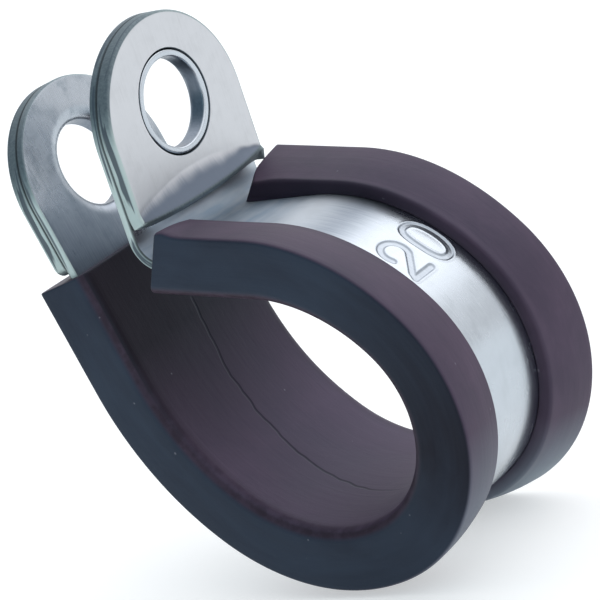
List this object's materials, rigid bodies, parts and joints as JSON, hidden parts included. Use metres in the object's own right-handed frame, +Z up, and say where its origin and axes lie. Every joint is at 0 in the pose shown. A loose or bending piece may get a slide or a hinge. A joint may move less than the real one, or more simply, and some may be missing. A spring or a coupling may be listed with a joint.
{
  "type": "p clip",
  "caption": "Rubber-lined steel P clip: a bent band with an upright and a leaning bolt ear, stiffened by ear plates, and a flanged rubber liner round the loop that holds a pipe or cable.",
  "frame": {"origin": "axis of the rear pipe seat, half way along the clip's width", "axes": "+Y along the pipe, +Z up along the upright ear, +X from the ears towards the closed side of the loop"},
  "size_m": [0.0342, 0.0164, 0.0416],
  "materials": {
    "band_steel": "bright zinc plate, rolled, with fine scratches",
    "plate_steel": "zinc plate, satin, with sheared edges",
    "liner_rubber": "extruded EPDM rubber, smooth, semi-matt"
  },
  "bodies": {
    "root": {"strap": "band_steel", "bent_ear_plate": "plate_steel", "straight_ear_plate": "plate_steel", "rubber_liner": "liner_rubber"}
  },
  "joints": []
}
